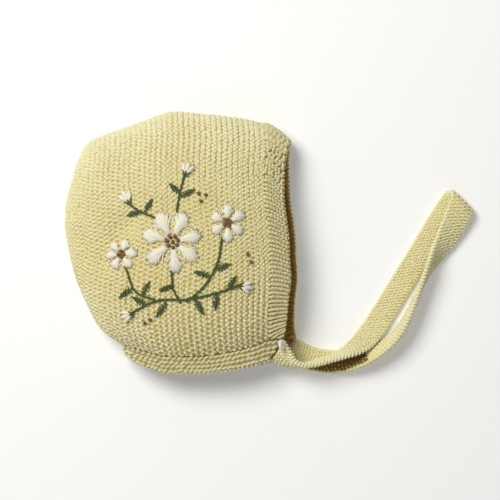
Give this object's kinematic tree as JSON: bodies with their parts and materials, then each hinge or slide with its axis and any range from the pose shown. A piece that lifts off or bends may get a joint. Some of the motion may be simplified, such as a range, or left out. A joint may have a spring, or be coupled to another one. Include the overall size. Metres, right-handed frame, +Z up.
{
  "type": "knitted baby bonnet with a looped chin strap",
  "caption": "Soft garter-knit infant bonnet lying on its side, with ribbed face band, garter neckband, button and a long looped chin strap.",
  "frame": {"origin": "on the table under the middle of the cap, at the flat underside of its far side", "axes": "+X from the back of the cap to the face opening, +Y from the neck to the top of the head, +Z up from the table"},
  "size_m": [0.2644, 0.1698, 0.0442],
  "materials": {
    "garter_knit": "pale butter-yellow cotton yarn, garter stitch, matt",
    "rib_knit": "the same yarn in rib, matt",
    "strap_knit": "the same yarn in a fine firm knit, matt",
    "pearl_button": "off-white pearl, softly shiny",
    "embroidery_cream": "soft cream wool embroidery yarn",
    "embroidery_green": "dark green stranded thread",
    "embroidery_brown": "variegated brown stranded thread"
  },
  "bodies": {
    "root": {"crown_shell": "garter_knit", "face_band": "rib_knit", "neck_band": "garter_knit", "chin_strap": "strap_knit", "button": "pearl_button"}
  },
  "joints": []
}
